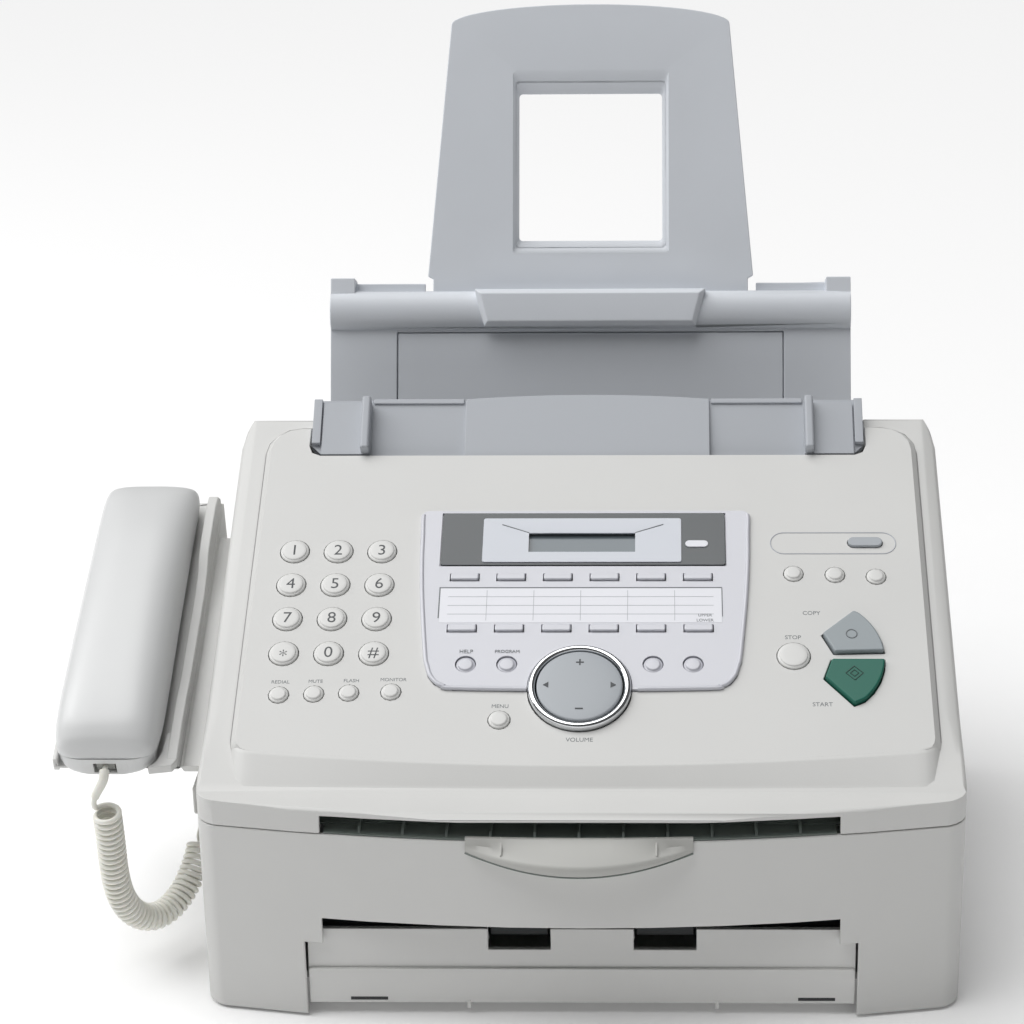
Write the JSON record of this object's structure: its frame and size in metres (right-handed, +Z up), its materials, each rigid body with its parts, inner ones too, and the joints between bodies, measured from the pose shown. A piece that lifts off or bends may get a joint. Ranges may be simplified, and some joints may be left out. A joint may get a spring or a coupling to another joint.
{
  "type": "fax machine",
  "caption": "Desktop laser fax machine with a sloping key panel, hinged top cover, corded handset on a side cradle, document feeder and rear paper tray.",
  "frame": {"origin": "on the desk, under the middle of the machine's box without its cord", "axes": "+X to the user's right, +Y to the rear, +Z up"},
  "size_m": [0.4348, 0.3994, 0.4147],
  "materials": {
    "casing": "fine matt",
    "handset": "satin",
    "tray_grey": "fine matt",
    "silver": "satin silver paint",
    "lens_dark": "polished",
    "lcd": "polished",
    "key_white": "satin",
    "key_grey": "satin",
    "key_green": "satin",
    "chrome": "polished",
    "cord": "satin",
    "plug": "clear",
    "rubber": "matt",
    "drum": "polished",
    "black": "fine matt",
    "chassis": "fine matt",
    "steel": "turned",
    "board": "solder mask"
  },
  "bodies": {
    "machine": {"base_frame": "chassis", "lower_casing": "casing", "paper_tray": "tray_grey", "exit_lip": "casing", "handset_cradle": "casing", "handset_cord": "cord", "base_plug": "plug", "drive_motor": "steel", "laser_unit": "black", "main_board": "board", "power_inlet": "black"},
    "cover": {"upper_cover": "casing", "panel_fascia": "silver", "display_lens": "lens_dark", "lcd_module": "lcd", "key_board": "board", "navigator_ring": "chrome", "document_tray": "tray_grey", "image_sensor": "black"},
    "handset": {"handset_shell": "handset", "handset_inner": "handset", "handset_plug": "plug"},
    "dial_key_1": {"dial_key_1": "key_white"},
    "dial_key_2": {"dial_key_2": "key_white"},
    "dial_key_3": {"dial_key_3": "key_white"},
    "dial_key_4": {"dial_key_4": "key_white"},
    "dial_key_5": {"dial_key_5": "key_white"},
    "dial_key_6": {"dial_key_6": "key_white"},
    "dial_key_7": {"dial_key_7": "key_white"},
    "dial_key_8": {"dial_key_8": "key_white"},
    "dial_key_9": {"dial_key_9": "key_white"},
    "dial_key_star": {"dial_key_star": "key_white"},
    "dial_key_0": {"dial_key_0": "key_white"},
    "dial_key_hash": {"dial_key_hash": "key_white"},
    "call_keys": {"call_keys": "key_white"},
    "feature_keys": {"feature_keys": "key_white"},
    "fascia_keys": {"fascia_keys": "silver"},
    "station_keys": {"station_keys": "silver"},
    "menu_key": {"menu_key": "key_white"},
    "auto_answer_key": {"auto_answer_key": "key_grey"},
    "stop_key": {"stop_key": "key_white"},
    "copy_start_key": {"copy_start_key": "key_grey"},
    "fax_start_key": {"fax_start_key": "key_green"},
    "navigator_gimbal": {"navigator_gimbal": "chassis"},
    "navigator_disc": {"navigator_disc": "key_grey"},
    "document_guide_left": {"document_guide_left": "tray_grey"},
    "document_guide_right": {"document_guide_right": "tray_grey"},
    "paper_support": {"paper_support": "tray_grey"},
    "pressure_plate": {"pressure_plate": "tray_grey"},
    "hook_switch": {"hook_switch": "casing"},
    "rear_cover": {"rear_cover": "casing"},
    "toner_cartridge": {"toner_cartridge": "black"},
    "drum": {"drum": "drum"},
    "transfer_roller": {"transfer_roller": "rubber"},
    "fuser_heat_roller": {"fuser_heat_roller": "steel"},
    "fuser_pressure_roller": {"fuser_pressure_roller": "rubber"},
    "exit_roller": {"exit_roller": "rubber"},
    "pickup_roller": {"pickup_roller": "rubber"},
    "motor_pinion": {"motor_pinion": "steel"},
    "document_feed_roller": {"document_feed_roller": "rubber"}
  },
  "joints": [
    {"name": "cover_hinge", "type": "hinge", "parent": "machine", "child": "cover", "pos_m": [0.0354, 0.0769, 0.188], "axis": [-1, 0, 0], "range_deg": [0, 42]},
    {"name": "dial_key_1_press", "type": "slide", "parent": "cover", "child": "dial_key_1", "axis": [0, 0.4695, -0.8829], "range_m": [0, 0.0012], "stiffness_N_per_m": 700},
    {"name": "dial_key_2_press", "type": "slide", "parent": "cover", "child": "dial_key_2", "axis": [0, 0.4695, -0.8829], "range_m": [0, 0.0012], "stiffness_N_per_m": 700},
    {"name": "dial_key_3_press", "type": "slide", "parent": "cover", "child": "dial_key_3", "axis": [0, 0.4695, -0.8829], "range_m": [0, 0.0012], "stiffness_N_per_m": 700},
    {"name": "dial_key_4_press", "type": "slide", "parent": "cover", "child": "dial_key_4", "axis": [0, 0.4695, -0.8829], "range_m": [0, 0.0012], "stiffness_N_per_m": 700},
    {"name": "dial_key_5_press", "type": "slide", "parent": "cover", "child": "dial_key_5", "axis": [0, 0.4695, -0.8829], "range_m": [0, 0.0012], "stiffness_N_per_m": 700},
    {"name": "dial_key_6_press", "type": "slide", "parent": "cover", "child": "dial_key_6", "axis": [0, 0.4695, -0.8829], "range_m": [0, 0.0012], "stiffness_N_per_m": 700},
    {"name": "dial_key_7_press", "type": "slide", "parent": "cover", "child": "dial_key_7", "axis": [0, 0.4695, -0.8829], "range_m": [0, 0.0012], "stiffness_N_per_m": 700},
    {"name": "dial_key_8_press", "type": "slide", "parent": "cover", "child": "dial_key_8", "axis": [0, 0.4695, -0.8829], "range_m": [0, 0.0012], "stiffness_N_per_m": 700},
    {"name": "dial_key_9_press", "type": "slide", "parent": "cover", "child": "dial_key_9", "axis": [0, 0.4695, -0.8829], "range_m": [0, 0.0012], "stiffness_N_per_m": 700},
    {"name": "dial_key_star_press", "type": "slide", "parent": "cover", "child": "dial_key_star", "axis": [0, 0.4695, -0.8829], "range_m": [0, 0.0012], "stiffness_N_per_m": 700},
    {"name": "dial_key_0_press", "type": "slide", "parent": "cover", "child": "dial_key_0", "axis": [0, 0.4695, -0.8829], "range_m": [0, 0.0012], "stiffness_N_per_m": 700},
    {"name": "dial_key_hash_press", "type": "slide", "parent": "cover", "child": "dial_key_hash", "axis": [0, 0.4695, -0.8829], "range_m": [0, 0.0012], "stiffness_N_per_m": 700},
    {"name": "call_keys_press", "type": "slide", "parent": "cover", "child": "call_keys", "axis": [0, 0.4695, -0.8829], "range_m": [0, 0.001], "stiffness_N_per_m": 700},
    {"name": "feature_keys_press", "type": "slide", "parent": "cover", "child": "feature_keys", "axis": [0, 0.4695, -0.8829], "range_m": [0, 0.001], "stiffness_N_per_m": 700},
    {"name": "fascia_keys_press", "type": "slide", "parent": "cover", "child": "fascia_keys", "axis": [0, 0.4695, -0.8829], "range_m": [0, 0.001], "stiffness_N_per_m": 700},
    {"name": "station_keys_press", "type": "slide", "parent": "cover", "child": "station_keys", "axis": [0, 0.4695, -0.8829], "range_m": [0, 0.001], "stiffness_N_per_m": 700},
    {"name": "menu_key_press", "type": "slide", "parent": "cover", "child": "menu_key", "axis": [0, 0.4695, -0.8829], "range_m": [0, 0.001], "stiffness_N_per_m": 700},
    {"name": "auto_answer_key_press", "type": "slide", "parent": "cover", "child": "auto_answer_key", "axis": [0, 0.4695, -0.8829], "range_m": [0, 0.001], "stiffness_N_per_m": 700},
    {"name": "stop_key_press", "type": "slide", "parent": "cover", "child": "stop_key", "axis": [0, 0.4695, -0.8829], "range_m": [0, 0.001], "stiffness_N_per_m": 700},
    {"name": "copy_start_key_press", "type": "slide", "parent": "cover", "child": "copy_start_key", "axis": [0, 0.4695, -0.8829], "range_m": [0, 0.001], "stiffness_N_per_m": 700},
    {"name": "fax_start_key_press", "type": "slide", "parent": "cover", "child": "fax_start_key", "axis": [0, 0.4695, -0.8829], "range_m": [0, 0.001], "stiffness_N_per_m": 700},
    {"name": "navigator_tip_forward", "type": "hinge", "parent": "cover", "child": "navigator_gimbal", "pos_m": [0.0343, -0.10775, 0.13914], "axis": [1, 0, 0], "range_deg": [-3, 3], "stiffness_Nm_per_rad": 0.6},
    {"name": "navigator_tip_sideways", "type": "hinge", "parent": "navigator_gimbal", "child": "navigator_disc", "pos_m": [0.0343, -0.10775, 0.13914], "axis": [0, 0.8829, 0.4695], "range_deg": [-3, 3], "stiffness_Nm_per_rad": 0.6},
    {"name": "document_guide_left_slide", "type": "slide", "parent": "cover", "child": "document_guide_left", "axis": [1, 0, 0], "range_m": [0, 0.044]},
    {"name": "document_guide_right_slide", "type": "slide", "parent": "cover", "child": "document_guide_right", "axis": [-1, 0, 0], "range_m": [0, 0.044]},
    {"name": "paper_support_slide", "type": "slide", "parent": "machine", "child": "paper_support", "axis": [0, 0.4067, 0.9135], "range_m": [0, 0.05]},
    {"name": "pressure_plate_hinge", "type": "hinge", "parent": "machine", "child": "pressure_plate", "pos_m": [0.0354, 0.11951, 0.24962], "axis": [-1, 0, 0], "range_deg": [0, 4.5]},
    {"name": "handset_lift", "type": "slide", "parent": "machine", "child": "handset", "axis": [0, -0.3827, 0.9239], "range_m": [0, 0.06], "deforming": ["handset_cord"]},
    {"name": "hook_switch_press", "type": "slide", "parent": "machine", "child": "hook_switch", "axis": [0, 0.3827, -0.9239], "range_m": [0, 0.003], "stiffness_N_per_m": 200},
    {"name": "rear_cover_hinge", "type": "hinge", "parent": "machine", "child": "rear_cover", "pos_m": [0.0354, 0.0993, 0.0208], "axis": [-1, 0, 0], "range_deg": [0, 85]},
    {"name": "toner_lift", "type": "slide", "parent": "machine", "child": "toner_cartridge", "axis": [0, 0, 1], "range_m": [0, 0.02]},
    {"name": "drum_spin", "type": "hinge", "parent": "machine", "child": "drum", "pos_m": [0.0354, -0.0551, 0.074], "axis": [1, 0, 0], "continuous": true},
    {"name": "transfer_roller_spin", "type": "hinge", "parent": "machine", "child": "transfer_roller", "pos_m": [0.0354, -0.0551, 0.0532], "axis": [1, 0, 0], "continuous": true},
    {"name": "fuser_heat_roller_spin", "type": "hinge", "parent": "machine", "child": "fuser_heat_roller", "pos_m": [0.0354, -0.1231, 0.066], "axis": [1, 0, 0], "continuous": true},
    {"name": "fuser_pressure_roller_spin", "type": "hinge", "parent": "machine", "child": "fuser_pressure_roller", "pos_m": [0.0354, -0.1231, 0.0464], "axis": [1, 0, 0], "continuous": true},
    {"name": "exit_roller_spin", "type": "hinge", "parent": "machine", "child": "exit_roller", "pos_m": [0.0354, -0.1626, 0.045], "axis": [1, 0, 0], "continuous": true},
    {"name": "pickup_roller_spin", "type": "hinge", "parent": "machine", "child": "pickup_roller", "pos_m": [0.0354, 0.0644, 0.171], "axis": [1, 0, 0], "continuous": true},
    {"name": "motor_pinion_spin", "type": "hinge", "parent": "machine", "child": "motor_pinion", "pos_m": [0.0354, -0.0351, 0.048], "axis": [1, 0, 0], "continuous": true},
    {"name": "document_feed_roller_spin", "type": "hinge", "parent": "cover", "child": "document_feed_roller", "pos_m": [0.0354, 0.0069, 0.175], "axis": [1, 0, 0], "continuous": true}
  ],
  "couplings": [
    {"joint": "drum_spin", "follows": "fuser_heat_roller_spin", "ratio": 0.8333},
    {"joint": "transfer_roller_spin", "follows": "fuser_heat_roller_spin", "ratio": -1.25},
    {"joint": "fuser_pressure_roller_spin", "follows": "fuser_heat_roller_spin", "ratio": -1.1111},
    {"joint": "exit_roller_spin", "follows": "fuser_heat_roller_spin", "ratio": -1.6667},
    {"joint": "pickup_roller_spin", "follows": "fuser_heat_roller_spin", "ratio": 1.1111},
    {"joint": "motor_pinion_spin", "follows": "fuser_heat_roller_spin", "ratio": -4.1667},
    {"joint": "document_guide_right_slide", "follows": "document_guide_left_slide", "ratio": 1}
  ]
}
